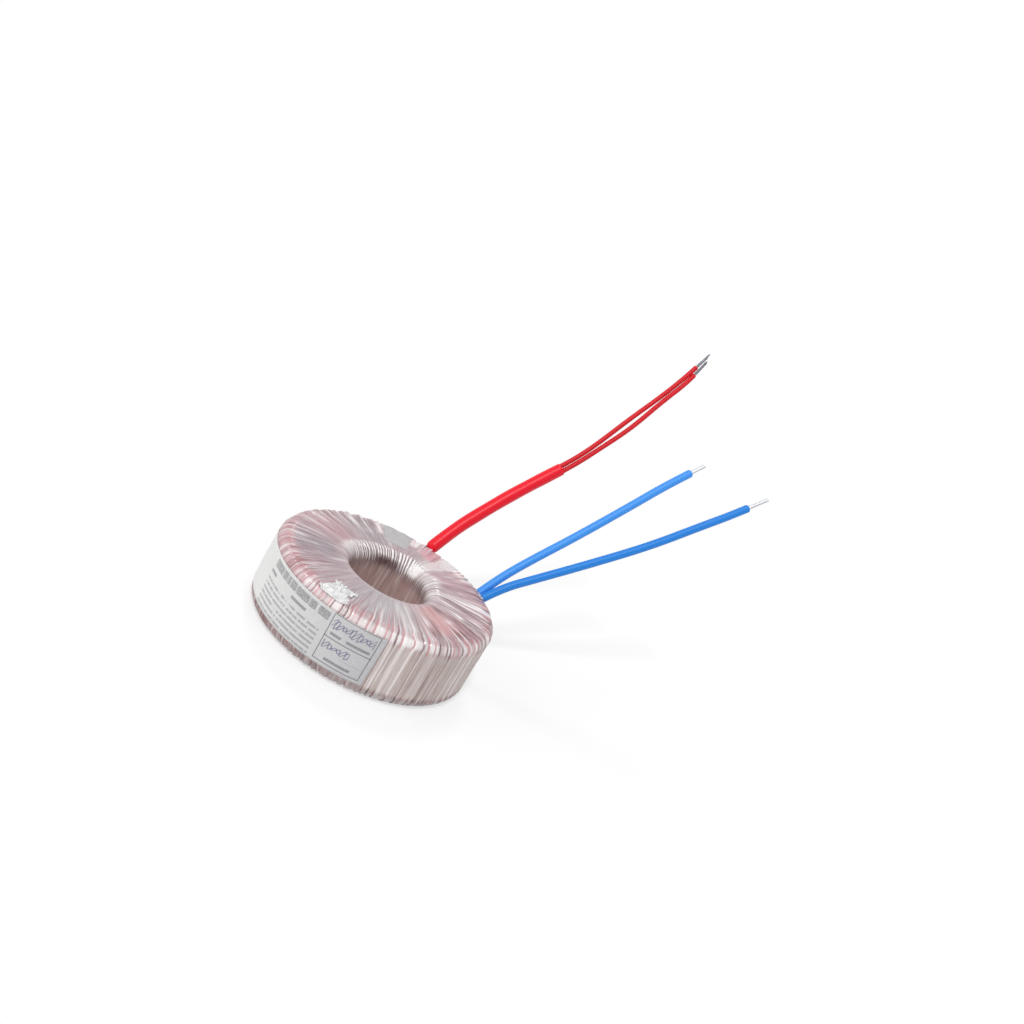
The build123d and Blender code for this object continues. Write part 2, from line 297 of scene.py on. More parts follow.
class Finish:
    """A material or a world, and one method that adds its nodes."""

    def __init__(self, name, **constants):
        self.material = bpy.data.materials.new(name)
        self.material.use_nodes = True
        self.tree = self.material.node_tree
        self.surface = self.tree.nodes["Principled BSDF"]
        for socket, value in constants.items():
            self.surface.inputs[socket.replace("_", " ")].default_value = value

    def node(self, kind, settings=None, inputs=None, output=0):
        node = self.tree.nodes.new("ShaderNode" + kind)
        for name, value in (settings or {}).items():
            setattr(node, name, value)
        for key, value in (inputs or {}).items():
            self.feed(node.inputs[key], value)
        return Value(self, node.outputs[output])

    def feed(self, socket, value):
        if isinstance(value, Value):
            self.tree.links.new(value.socket, socket)
        elif value is not None:
            socket.default_value = value

    def set(self, name, value):
        self.feed(self.surface.inputs[name], value)

    def position(self):
        return self.node("TexCoord", output="Object")

    def along_axes(self, vector):
        return [self.node("SeparateXYZ", None, {0: vector}, output=axis) for axis in range(3)]

    def vector(self, x, y, z):
        return self.node("CombineXYZ", None, {0: x, 1: y, 2: z})

    def attribute(self, name, output="Fac"):
        return self.node("Attribute", {"attribute_name": name}, output=output)

    def noise(self, vector, scale, detail=2.0, roughness=0.5):
        return self.node("TexNoise", None, {"Vector": vector, "Scale": scale, "Detail": detail,
                                            "Roughness": roughness})

    def mix(self, factor, first, second):
        return self.node("Mix", {"data_type": "RGBA"}, {0: factor, 6: first, 7: second}, output=2)

    def bump(self, height, distance, strength=1.0):
        bump = self.node("Bump", None, {"Height": height, "Distance": distance, "Strength": strength})
        self.set("Normal", bump)


def rgb(red, green, blue):
    """A colour from its usual 0 to 255 values, made linear."""
    def linear(value):
        share = value / 255
        return share / 12.92 if share <= 0.04045 else ((share + 0.055) / 1.055) ** 2.4
    return (linear(red), linear(green), linear(blue), 1.0)


def grey(share):
    return (share, share, share, 1.0)


def film_finish():
    """Glossy clear film over copper: its colour, with painted highlights and shade, comes from the turns,
    with hair-fine streaks along them.
    """
    finish = Finish("clear_film_on_copper", Coat_Roughness=0.2, Coat_IOR=1.5)
    x, y, z = finish.along_axes(finish.position())
    radius = (x * x + y * y).math("SQRT")
    level = (radius + z) * HAIRS_ALONG
    hair = finish.noise(finish.vector(x / radius * HAIRS, y / radius * HAIRS, level), 1.0, 3.0, 0.6)
    tint = finish.attribute("film_tint", "Color")
    tint = finish.mix(((hair - 0.5) * 1.5).clamped(), tint, rgb(*MILKY_WHITE_AND_HIGHLIGHT))
    tint = finish.mix(((0.5 - hair) * 1.3).clamped(), tint, rgb(*MAROON))
    finish.set("Base Color", tint)
    finish.set("Roughness", hair * 0.2 + 0.45)
    finish.set("Coat Weight", finish.attribute("film_tint", "Alpha"))
    finish.bump(hair, 0.10 * MM, 0.35)
    return finish.material


def paper_finish():
    """The label's paper, with painted shade darkening it towards the end with the box, with its print and
    writing.
    """
    finish = Finish("label_paper", Roughness=0.5, Coat_Weight=0.35, Coat_Roughness=0.25)
    u, v, _ = finish.along_axes(finish.node("UVMap", {"uv_map": "UVMap"}))
    x = (1 - u) * (LABEL_LENGTH / MM)
    y = v * ((LABEL_HIGH - LABEL_LOW) / MM)
    inks = label_inks(finish, x, y)
    fibre = finish.noise(finish.position(), 900.0, 3.0)
    # Painted shade: the paper darkens towards the end with the box, away from the light, with the fibre's
    # tone mixed in.
    shade_and_fibre = (1 - x / 62).clamped() * 0.75 + fibre * 0.4
    paper = finish.mix(1 - shade_and_fibre.clamped(), rgb(186, 184, 187), rgb(236, 236, 234))
    for strength, ink in inks:
        paper = finish.mix(strength.clamped(), paper, ink)
    finish.set("Base Color", paper)
    finish.bump(fibre, 0.05 * MM, 0.3)
    return finish.material


def label_inks(finish, x, y):
    """Rows of small print, a bold line, a ruled box and two scribbles, all unreadable: the strength and the
    colour of each ink. Places are millimetres from the end with the box and from the lower edge."""

    def block(left, right, low, high):
        return x.between(left, right, INK_EDGE) * y.between(low, high, INK_EDGE)

    grain = finish.noise(finish.vector(x * 2.6, y * 2.2, 3.0), 1.0, 2.0)
    words = finish.noise(finish.vector(x * 0.75, (y / PRINT_ROW).math("FLOOR") * 3.7, 0.0), 1.0, 1.0)
    row = ((y - 0.55) / PRINT_ROW).math("FRACT")
    rows = row.between(0.22, 0.55, 0.10) * block(24.6, 59.0, 0.9, 13.2)
    rows = rows * ((words - 0.36) * 9).clamped() * (grain * 1.4 + 0.1).clamped()
    captions = block(33.0, 41.5, 14.4, 15.5) + block(54.0, 59.0, 14.4, 15.5)
    letters = finish.noise(finish.vector(x * 0.5, 4.0, 8.0), 1.0, 0.0)
    strokes = finish.noise(finish.vector(x * 1.9, y * 0.9, 5.0), 1.0, 2.0) * 1.6 - 0.1
    headline = block(23.4, 58.0, 17.4, 20.6) * ((letters - 0.33) * 10).clamped() * strokes.clamped()
    box = block(2.2, 22.0, 1.6, 21.8)
    rules = (box - block(2.6, 21.6, 2.0, 21.4)).clamped() + y.between(11.8, 12.1, 0.1) * box
    rules = rules + y.between(6.0, 6.1, 0.1) * x.between(3.0, 12.0, INK_EDGE) * 0.5
    in_box = block(15.6, 20.2, 13.3, 14.3) + block(3.6, 13.2, 13.3, 14.3) + block(6.8, 17.8, 3.0, 4.0)
    in_box = in_box * (grain * 1.7).clamped()
    marks = scribble(x, y, 17.9, 2.0, 1.9, 3.4, 21.0) + scribble(x, y, 8.8, 1.5, 1.7, 9.8, 21.0)
    return (((rows + captions) * 0.62 + in_box * 0.75, rgb(92, 94, 102)), (headline * 0.75, rgb(84, 86, 92)),
            (rules * 0.75, rgb(74, 80, 88)), (marks * 0.8, rgb(82, 82, 122)))


def scribble(x, y, middle, swing, rate, low, high):
    """Slanted pen loops between two places on a line of writing."""
    aslant = (x + (y - middle) * 0.45) * rate
    size = swing * ((x * 0.7).math("SINE") * 0.3 + 0.7)
    marks = 0.0
    for late in (0.0, 2.3):
        wave = (aslant + late).math("SINE") * size
        steep = ((aslant + late).math("COSINE") * size * rate).math("ABSOLUTE") + 1
        marks = (1 - (y - middle - wave).math("ABSOLUTE") / (steep * 0.3)).clamped() + marks
    return marks.clamped() * x.between(low, high, 0.3)


def grey_cloth_finish():
    finish = Finish("grey_cloth", Roughness=0.75)
    position = finish.position()
    blotches = finish.noise(position, 260.0, 3.0)
    fibres = finish.noise(position, 1500.0, 2.0)
    woven = (blotches * 0.6 + fibres * 0.4).clamped()
    finish.set("Base Color", finish.mix(woven, rgb(168, 166, 168), rgb(200, 198, 199)))
    finish.bump(fibres, 0.12 * MM, 0.6)
    return finish.material


def film_tape_finish(name, dark, light, roughness, clearness):
    """Loose clear film, whitish where it is wrinkled."""
    finish = Finish(name, Roughness=roughness, Coat_Weight=0.6, Coat_Roughness=0.15)
    wrinkles = finish.noise(finish.position(), 420.0, 4.0, 0.6)
    finish.set("Base Color", finish.mix(wrinkles, dark, light))
    finish.set("Alpha", (wrinkles * 0.6 + 1 - clearness).clamped())
    finish.bump(wrinkles, 0.3 * MM, 0.6)
    return finish.material


def lead_finish(name, dark, light, roughness=0.42):
    """Coloured insulation, with painted shade in the grooves between its ribs."""
    finish = Finish(name, Roughness=roughness, Specular_IOR_Level=0.35)
    grain = finish.noise(finish.position(), 700.0, 2.0)
    # Painted shade: darker in the grooves between the ribs, lighter on their crests.
    height = (finish.attribute("rib") * 0.75 + grain * 0.25).clamped()
    finish.set("Base Color", finish.mix(height, dark, light))
    finish.bump(grain, 0.04 * MM, 0.4)
    return finish.material


def metal_finish(name, dark, light, roughness):
    finish = Finish(name, Metallic=0.85, Roughness=roughness)
    tarnish = finish.noise(finish.position(), 900.0, 3.0)
    finish.set("Base Color", finish.mix(tarnish, dark, light))
    finish.bump(tarnish, 0.03 * MM, 0.5)
    return finish.material


def hidden_finish(name, first, second, **constants):
    """A plain wound or pressed surface for the pieces inside the film."""
    finish = Finish(name, **constants)
    finish.set("Base Color", finish.mix(finish.noise(finish.position(), 500.0), first, second))
    return finish.material


# ================ Modelling help ================
def select_only(piece):
    bpy.ops.object.select_all(action="DESELECT")
    piece.select_set(True)
    bpy.context.view_layer.objects.active = piece


@contextmanager
def editing_all():
    """Edit mode on the active piece, with all of it selected."""
    bpy.ops.object.mode_set(mode="EDIT")
    bpy.ops.mesh.select_all(action="SELECT")
    yield
    bpy.ops.object.mode_set(mode="OBJECT")


@contextmanager
def editing(piece, kind, wanted):
    """Edit mode on the active piece, with only the wanted ones of its points or edges selected."""
    bpy.ops.object.mode_set(mode="EDIT")
    bpy.ops.mesh.select_mode(type=kind)
    bpy.ops.mesh.select_all(action="DESELECT")
    bpy.ops.object.mode_set(mode="OBJECT")
    for part in piece.data.vertices if kind == "VERT" else piece.data.edges:
        part.select = wanted(part)
    bpy.ops.object.mode_set(mode="EDIT")
    yield
    bpy.ops.object.mode_set(mode="OBJECT")


def apply_modifier(piece, kind, name, **settings):
    select_only(piece)
    modifier = piece.modifiers.new(name, kind)
    for key, value in settings.items():
        setattr(modifier, key, value)
    bpy.ops.object.modifier_apply(modifier=name)


def corners(piece):
    places = np.empty(len(piece.data.vertices) * 3)
    piece.data.vertices.foreach_get("co", places)
    return places.reshape(-1, 3)


def move_corners(piece, places):
    piece.data.vertices.foreach_set("co", places.ravel())
    piece.data.update()


def finished(piece, material, slot, *nodes):
    """Gives a piece its finish and smooth shading, and seats it on the transformer."""
    piece.data.materials.clear()
    piece.data.materials.append(material)
    piece.data.polygons.foreach_set("use_smooth", [True] * len(piece.data.polygons))
    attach(piece, "root")
    if nodes:
        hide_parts(*nodes)
    return piece


# ================ Film ================
def degrees_apart(azimuth, middle):
    """The angle between two azimuths, the short way round."""
    return np.abs((azimuth - middle + 180) % 360 - 180)


def near(azimuth, middle, spread):
    """1 at an azimuth, falling off over a spread of degrees."""
    return np.exp(-(degrees_apart(azimuth, middle) / spread) ** 2)


def within(azimuth, start, end):
    """1 from one azimuth to another, falling to 0 over a degree outside them."""
    return np.clip((end - start) / 2 - degrees_apart(azimuth, (start + end) / 2) + 1, 0, 1)


def window(place, low, high, soft):
    """1 between two places, falling to 0 over a soft edge outside them."""
    return np.clip((place - low) / soft + 1, 0, 1) * np.clip((high - place) / soft + 1, 0, 1)


def round_ring(azimuth, values):
    """A value that changes smoothly round the ring."""
    at, value = zip(*values)
    return np.interp(azimuth, at, value, period=360)


def streaks(azimuth, path, count, seed):
    """Uneven streaks from 0 to 1 that run with the turns of film, so many of them round the ring."""
    rows = 9
    table = np.random.default_rng(seed).random((count, rows))
    place = azimuth % 360 / 360 * count
    row = np.clip(path / PATH_END, 0, 1) * (rows - 1)
    left, low = np.floor(place).astype(int), np.minimum(np.floor(row).astype(int), rows - 2)
    share, rise = place - left, row - low
    share = share * share * (3 - 2 * share)
    left, right = left % count, (left + 1) % count
    lower = table[left, low] * (1 - share) + table[right, low] * share
    higher = table[left, low + 1] * (1 - share) + table[right, low + 1] * share
    return lower * (1 - rise) + higher * rise


class Turns:
    """Uneven turns round the ring: each column's place in its turn, how near its end, and its chances."""

    def __init__(self, column, seed, width_at):
        chance = np.random.default_rng(seed)
        starts = [0]
        while starts[-1] < COLUMNS - LEAST_LAST_TURN:
            width = width_at(360 * starts[-1] / COLUMNS) * chance.uniform(0.5, 1.5)
            starts.append(starts[-1] + max(NARROWEST_TURN, int(width)))
        starts[-1] = COLUMNS
        starts = np.array(starts)
        turn = np.searchsorted(starts, column, side="right") - 1
        self.share = (column - starts[turn]) / (starts[turn + 1] - starts[turn])
        self.edge = np.exp(-(starts[turn + 1] - 1 - column) / EDGE_COLUMNS)
        self.chance = chance.random((len(starts), 3))[turn].T


def lap_width(azimuth):
    return LAP_COLUMNS + 4 * near(azimuth, WIDE_LAPS, 35) - 4 * near(azimuth, NARROW_LAPS, 30)


def along_section(radius, height):
    """Distance along the plain section, the outward direction there, and whether it is in the upper half."""
    upper = height > TOP / 2
    above = np.abs(height - TOP / 2)
    rim_out = radius - (RIM - RIM_RADIUS)
    lip_in = BORE + LIP_RADIUS - radius
    rim_angle = np.arctan2(np.maximum(above - SIDE_FLAT / 2, 0), rim_out)
    lip_angle = np.arctan2(np.maximum(above - BORE_FLAT / 2, 0), lip_in)
    at_rim, at_lip = rim_out > 0, lip_in > 0
    path = np.where(at_rim, np.minimum(above, RIM_START) + RIM_RADIUS * rim_angle, FACE_START - rim_out)
    down = np.maximum(BORE_FLAT / 2 - above, 0)
    path = np.where(at_lip, BORE_START - LIP_RADIUS * lip_angle + down, path)
    out = np.where(at_rim, np.cos(rim_angle), np.where(at_lip, -np.cos(lip_angle), 0))
    up = np.where(at_rim, np.sin(rim_angle), np.where(at_lip, np.sin(lip_angle), 1))
    return path, out, np.where(upper, up, -up), upper


def lean(azimuth, path):
    """How far a turn of film leans round the ring, in degrees, from the lip to the rim."""
    across = round_ring(azimuth, LEAN_OF_LAPS) * np.interp(path, (FACE_START, LIP_START), (1, 0))
    over_lip = np.interp(path, (LIP_START, BORE_START), (0, -1))
    at_lip = LIP_LEAN * round_ring(azimuth, LIP_PLEAT_ROUND) * over_lip
    curl = np.sin(np.clip((path - RIM_START) / CURL_LENGTH, 0, 1) * 2 * pi)
    return across + at_lip + CURL * curl * (streaks(azimuth, path * 0, 40, 5) - 0.3)


def pressed_flat(film):
    """1 where the label or a tape lies on the film."""
    flat = within(film.azimuth, *LABEL) * np.clip((RIM_START - film.path) / (1 * MM) + 1, 0, 1)
    for tape, reach in TAPES_PRESS:
        under = within(film.azimuth, *tape) * film.stretch(RIM_START, reach, 2 * MM)
        flat = np.maximum(flat, under * film.upper)
    return flat


def pressed_in(azimuth, height, radius):
    """How far the ring's outer wall leans inward near its top, opposite the leads."""
    outer = np.clip((radius - LEAN_IN_RADIUS) / (8 * MM), 0, 1)
    upward = np.clip((height - LEAN_IN_HEIGHT) / (TOP - LEAN_IN_HEIGHT), 0, 1)
    return LEAN_IN * near(azimuth, LEAN_IN_MIDDLE, LEAN_IN_SPREAD) * outer * upward


def humps(film):
    """The film raised over the lead-outs."""
    rise = np.zeros_like(film.radius)
    for middle, height, width, start, end in HUMPS:
        angle = np.radians(film.azimuth - middle)
        aside = film.radius * np.sin(angle)
        along = film.stretch(start, end, 4 * MM) * (np.cos(angle) > 0) * film.upper
        rise += height * np.exp(-(aside / width) ** 2) * along
    return rise


def towards(tint, colour, weight):
    return tint + (np.array(rgb(*colour)[:3]) - tint) * np.clip(weight, 0, 1)[:, None]


class FilmPoints:
    """The points of the plain ring: the place of each on the section, round the ring and in its turns."""

    def __init__(self, places):
        x, y, self.height = places.copy().T
        self.radius = np.hypot(x, y)
        column = np.rint(np.arctan2(y, x) / (2 * pi) * COLUMNS).astype(int) % COLUMNS
        self.laid = column * 360 / COLUMNS
        self.path, self.out, self.up, self.upper = along_section(self.radius, self.height)
        self.azimuth = self.laid + lean(self.laid, self.path)

        self.lap = Turns(column, 11, lap_width)
        self.wrinkle = Turns(column, 12, lambda azimuth: WRINKLE_COLUMNS)
        self.lip_turn = Turns(column, 13, lambda azimuth: LIP_COLUMNS)

        self.side = self.stretch(0, RIM_START, 1.5 * MM)
        self.rim = self.stretch(RIM_START + 0.5 * MM, FACE_START - 0.5 * MM, 2.0 * MM)
        self.outer_face = self.stretch(FACE_START, FACE_START + 5 * MM, 9 * MM)
        self.lip = self.stretch(LIP_START + 1 * MM, BORE_START - 1.5 * MM, 2 * MM)
        self.bore = self.stretch(BORE_START, PATH_END, 1.5 * MM)

        self.creasing = round_ring(self.azimuth, CREASE_ROUND)
        self.crease = self.lap.edge * (0.25 + 0.75 * self.lap.chance[1]) * self.creasing
        self.lip_pleats = round_ring(self.azimuth, LIP_PLEAT_ROUND)
        self.ridge = np.sin(pi * self.lip_turn.share) ** 0.8

        level = np.maximum(self.path, RIM_START)
        self.streak = (0.35 * streaks(self.laid, level, 300, 21) + 0.4 * streaks(self.laid, level, 130, 22)
                       + 0.25 * streaks(self.laid, level, 64, 23))

    def stretch(self, start, end, soft):
        """1 between two places on the section."""
        return window(self.path, start, end, soft)

    def spot(self, azimuth, spread, start, end, soft):
        """1 near an azimuth, between two places on the upper half of the section."""
        return near(self.azimuth, azimuth, spread) * self.stretch(start, end, soft) * self.upper


def film_relief(film):
    """How far each point stands out from the plain ring: laps, creases, pleats and humps."""
    gain = 0.45 * film.side + 1.1 * film.rim + 0.6 * film.outer_face + 0.15
    back = 1 + 0.8 * near(film.azimuth, BACK, 40)
    stand = LAP_STEP * (0.2 + 0.8 * film.lap.chance[0]) * (0.4 - film.lap.share) * gain * back
    fine_crease = film.wrinkle.edge * film.wrinkle.chance[0] ** 2 * film.creasing
    stand -= CREASE_DEPTH * film.crease * (film.rim + 0.25 * film.outer_face)
    stand -= WRINKLE_DEPTH * fine_crease * (film.rim + 0.5 * film.outer_face + 0.3 * film.side)
    uneven = 0.4 + 0.6 * film.lip_turn.chance[0]
    stand += LIP_PLEAT * (film.ridge - 0.6) * uneven * film.lip * film.lip_pleats
    stand -= WORN_LIP * film.spot(FAR_LIP, 15, 45.5 * MM, 48 * MM, 1.2 * MM)
    pressed = pressed_flat(film)
    stand = stand * (1 - 0.9 * pressed) - PRESSED_BACK * pressed + humps(film)
    return np.where(film.upper, stand, np.minimum(stand, 0))


def zone_tints(film, tint):
    """The bands along the section and the coloured zones round the face."""
    for middle, spread, start, end, colour, strength in FILM_ZONES:
        zone = film.spot(middle, spread, start * MM, end * MM, 3 * MM)
        tint = towards(tint, colour, zone * strength * (0.55 + 0.9 * film.streak))
    tint = towards(tint, BEIGE, film.side)
    tint = towards(tint, TAUPE, film.bore)
    tint = towards(tint, DUSK, 0.8 * film.stretch(BORE_START - 2 * MM, BORE_START + 1 * MM, 2 * MM))
    return towards(tint, ROSE, film.rim * round_ring(film.azimuth, RIM_ROSE_ROUND))


def streak_tints(film, tint):
    """Pale and dark streaks along the turns, partly the film's own tone and partly painted reflection and
    shade, and painted highlights on the pads of the rim.
    """
    lively = round_ring(film.azimuth, STREAK_ROUND) * (0.5 + 0.5 * film.outer_face)
    lively = lively * (1 - film.side - film.bore) + film.side + 0.5 * film.bore
    tone = film.lap.chance[2] - 0.5
    # Pale and dark streaks: partly the film's own milky and dark tone, partly painted reflection and painted
    # shade.
    tint = towards(tint, MILKY_WHITE_AND_HIGHLIGHT, lively * ((film.streak - 0.53) * 2.4 + tone * 0.6))
    tint = towards(tint, MAROON, lively * ((0.44 - film.streak) * 2.2 - tone * 0.45))
    # Painted highlight: whitish pads on the upper rim, strongest towards the front, less in the creases.
    upper_rim = film.stretch(12.4 * MM, 14.6 * MM, 1.2 * MM)
    pad_highlight = film.rim * (0.2 + 0.8 * upper_rim) * round_ring(film.azimuth, PAD_HIGHLIGHT_ROUND)
    return towards(tint, MILKY_WHITE_AND_HIGHLIGHT, pad_highlight * (1 - film.crease * 1.5) * (0.2 + 1.3 * film.streak + tone * 0.6))


def lip_tints(film, tint):
    """Painted highlights on the crests of the pleats gathered on the bore's lip and painted shade between
    them, painted shade on its far stretch, and its pale one.
    """
    pleats = film.lip * film.lip_pleats
    # Painted highlight on the crests of the lip's pleats, painted shade in the valleys between them.
    tint = towards(tint, MILKY_WHITE_AND_HIGHLIGHT, pleats * (film.ridge * 2.6 - 1.1) * (0.4 + film.lip_turn.chance[1]))
    tint = towards(tint, MAROON, pleats * (0.85 - film.ridge) * (1.2 + 1.2 * film.lip_turn.chance[2]))
    # Painted shade in the recess under the far stretch of the lip.
    recess_shade = np.clip(1.6 * near(film.azimuth, FAR_LIP, 17), 0, 1) * film.upper
    recess_shade = recess_shade * film.stretch(44.7 * MM, 47.6 * MM, 0.6 * MM)
    tint = towards(tint, BROWN, recess_shade * (0.75 + 0.5 * film.streak))
    return towards(tint, MILKY_WHITE_AND_HIGHLIGHT, 1.4 * film.spot(PALE_LIP, 8, 40.5 * MM, 45.5 * MM, 1 * MM))


def lap_tints(film, tint):
    """Rosy edges of the laps with painted shade on some of them, painted highlights on pale starts, a fan of
    dark streaks and painted shade on the underside.
    """
    first, second, _ = film.lap.chance
    edge = film.lap.edge
    tint = towards(tint, CREASE, edge * (0.5 + 0.6 * first) * (film.rim + 0.6 * film.outer_face))
    # Painted shade at the low end of some laps, at the foot of the step to the next.
    edge_shade = 0.75 * film.rim + 0.5 * film.outer_face + 0.5 * film.side
    tint = towards(tint, MAROON, edge * (second > 0.5) * edge_shade)
    # Painted highlight on the proud start of some laps.
    start_highlight = (film.lap.share < 0.1) * (first > 0.45)
    tint = towards(tint, MILKY_WHITE_AND_HIGHLIGHT, 0.7 * start_highlight * (film.outer_face + film.side))
    dark_fan = film.spot(DARK_FAN, 9, 18 * MM, 26 * MM, 2.5 * MM)
    tint = towards(tint, MAROON, dark_fan * (film.streak - 0.42) * 4)
    # Painted shade on the rounded underside.
    return towards(tint, BROWN, 0.6 * film.stretch(11.5 * MM, 16 * MM, 1.5 * MM) * ~film.upper)


def film_tints(film):
    """The film's colour at each point, with its painted highlights and shade, and the share of glossy coat
    there.
    """
    tint = np.tile(np.array(rgb(*MAUVE)[:3]), (len(film.path), 1))
    for add_tints in (zone_tints, streak_tints, lip_tints, lap_tints):
        tint = add_tints(film, tint)
    coat = 0.08 + 0.8 * np.clip(film.rim + film.lip, 0, 1) * (1 - 0.7 * near(film.azimuth, DULL_SIDE, 35))
    return np.column_stack((tint, coat))


def pleat(piece):
    """Moves each point of the plain ring to the film's laps, creases and humps, and colours it."""
    places = corners(piece)
    film = FilmPoints(places)
    layer = piece.data.attributes.new("film_tint", "FLOAT_COLOR", "POINT")
    layer.data.foreach_set("color", film_tints(film).ravel())
    inward = pressed_in(film.azimuth, film.height, film.radius)
    stand = np.maximum(film_relief(film), inward - DEEPEST)
    radius = film.radius + film.out * stand - inward
    places[:, 0] = radius * np.cos(np.radians(film.azimuth))
    places[:, 1] = radius * np.sin(np.radians(film.azimuth))
    places[:, 2] += film.up * stand
    move_corners(piece, places)


def film_wrap():
    """The rounded ring, turned from its section, then pleated where each turn laps the last."""
    bpy.ops.mesh.primitive_plane_add(size=1, location=((RIM + BORE) / 2, 0, TOP / 2), rotation=(pi / 2, 0, 0))
    piece = bpy.context.object
    piece.name = "film_wrap"
    piece.scale = (RIM - BORE, TOP, 1)
    select_only(piece)
    bpy.ops.object.transform_apply(location=True, rotation=True, scale=True)
    round_corners(piece)
    with editing_all():
        bpy.ops.mesh.delete(type="ONLY_FACE")
    divide_flats(piece)
    apply_modifier(piece, "SCREW", "turned", angle=2 * pi, steps=COLUMNS, render_steps=COLUMNS,
                   use_merge_vertices=True, merge_threshold=0.005 * MM)
    with editing_all():
        bpy.ops.mesh.normals_make_consistent(inside=False)
    pleat(piece)
    return finished(piece, film_finish(), "film", "outer_film_wrap")


def round_corners(piece):
    """Rounds the section's two rim corners, then its two lip corners."""
    for at_rim, corner in ((True, RIM_RADIUS), (False, LIP_RADIUS)):
        with editing(piece, "VERT", lambda point: (point.co.x > (RIM + BORE) / 2) == at_rim):
            bpy.ops.mesh.bevel(offset=corner, segments=CORNER_SEGMENTS, affect="VERTICES")


def divide_flats(piece):
    """Cuts the straight edges of the section into short ones, the longest first."""
    points = piece.data.vertices
    for flat, cuts in ((SIDE_FLAT, SIDE_CUTS), (FACE_FLAT, FACE_CUTS), (BORE_FLAT, BORE_CUTS)):
        least = flat - 0.5 * MM

        def long_enough(edge):
            first, second = edge.vertices
            return (points[first].co - points[second].co).length > least
        with editing(piece, "EDGE", long_enough):
            bpy.ops.mesh.subdivide(number_cuts=cuts)


# ================ Sheets on the ring ================
def crumpled(share_round, share_across, folds, seed):
    """Sharp folds in a sheet, from 0 to 1."""
    chance = np.random.default_rng(seed)
    height = np.zeros_like(share_round)
    for _ in range(folds):
        angle, rate, late = chance.uniform(0, pi), chance.uniform(2, 7), chance.uniform(0, 6)
        along = (share_round * cos(angle) + share_across * sin(angle)) * rate + late
        bend = 0.25 * np.sin(share_round * chance.uniform(3, 9) + share_across * chance.uniform(3, 9))
        height += np.abs((along + bend) % 1 * 2 - 1) / folds
    return height


def sheet_on_ring(name, azimuths, path, columns, rows, lift, thickness, crumple, seed, set_back=0.0,
                  ragged=0.0):
    """A sheet bent round the ring between two azimuths. path gives radius, height and outward direction along
    its width, crumple the height of its folds, and set_back how far its last lower corner is cut short."""
    bpy.ops.mesh.primitive_grid_add(x_subdivisions=columns, y_subdivisions=rows, size=2)
    piece = bpy.context.object
    piece.name = name
    places = corners(piece)
    share_round = (places[:, 0] + 1) / 2
    share_across = (places[:, 1] + 1) / 2
    radius, height, out, up = path(share_across)
    start, end = np.radians(azimuths)
    waves = np.sin(share_across * 9 + seed) + 0.6 * np.sin(share_across * 23)
    waver = ragged * (2 * share_round - 1) * waves
    angle = start + (end - start) * share_round + np.radians(waver)
    angle = angle - set_back / RIM * (1 - share_across) * share_round ** 8
    border = np.clip(12 * np.minimum(share_round, 1 - share_round), 0, 1) * np.clip(12 * share_across, 0, 1)
    border = border * np.clip(12 * (1 - share_across), 0, 1)
    stand = lift + crumple * border * (crumpled(share_round, share_across, 4, seed) - 0.25)
    radius = radius + out * stand - pressed_in(np.degrees(angle), height, radius)
    places[:, 2] = height + up * stand
    places[:, 0] = radius * np.cos(angle)
    places[:, 1] = radius * np.sin(angle)
    move_corners(piece, places)
    apply_modifier(piece, "SOLIDIFY", "thickness", thickness=thickness, offset=1)
    return piece


def side_path(low, high):
    """Straight up the side wall."""
    def path(share):
        height = low + (high - low) * share
        return np.full_like(share, RIM), height, np.ones_like(share), np.zeros_like(share)
    return path


def over_rim_path(inner_radius, down):
    """From a radius on the top face outward, round the rim and a little way down the side."""
    flat = RIM - RIM_RADIUS - inner_radius
    turn = RIM_RADIUS * pi / 2
    total = flat + turn + down

    def path(share):
        run = share * total
        angle = np.clip((run - flat) / RIM_RADIUS, 0, pi / 2)
        radius = inner_radius + np.minimum(run, flat) + RIM_RADIUS * np.sin(angle)
        height = TOP - RIM_RADIUS * (1 - np.cos(angle)) - np.maximum(run - flat - turn, 0)
        return radius, height, np.sin(angle), np.cos(angle)
    return path


def spec_label():
    piece = sheet_on_ring("spec_label_sheet", LABEL, side_path(LABEL_LOW, LABEL_HIGH), 240, 24,
                          lift=0.05 * MM, thickness=0.12 * MM, crumple=0.12 * MM, seed=21,
                          set_back=LABEL_SET_BACK)
    return finished(piece, paper_finish(), "label", "spec_label")


def tapes():
    grey = sheet_on_ring("grey_cloth_tape", GREY_TAPE, over_rim_path(GREY_TAPE_INNER, GREY_TAPE_DOWN),
                         50, 40, lift=0.0, thickness=0.12 * MM, crumple=0.5 * MM, seed=31, ragged=0.5)
    finished(grey, grey_cloth_finish(), "grey_tape", "grey_end_tape")
    pale = sheet_on_ring("lead_exit_film", EXIT_TAPE, over_rim_path(EXIT_TAPE_INNER, EXIT_TAPE_DOWN),
                         40, 60, lift=0.0, thickness=0.08 * MM, crumple=0.5 * MM, seed=41, ragged=0.8)
    pale_film = film_tape_finish("pale_film", rgb(206, 198, 199), rgb(238, 233, 233), 0.22, 0.15)
    finished(pale, pale_film, "pale_tape", "lead_exit_tape")
    clear = sheet_on_ring("crumpled_film", FRONT_TAPE, over_rim_path(FRONT_TAPE_INNER, FRONT_TAPE_DOWN),
                          80, 60, lift=0.1 * MM, thickness=0.06 * MM, crumple=1.9 * MM, seed=51, ragged=1.5)
    clear_film = film_tape_finish("crumpled_clear_film", rgb(206, 206, 206), rgb(250, 250, 250), 0.15, 0.3)
    finished(clear, clear_film, "pale_tape", "front_rim_tape")


# ================ Leads ================
def metres(route):
    return [Vector(point) * MM for point in route]


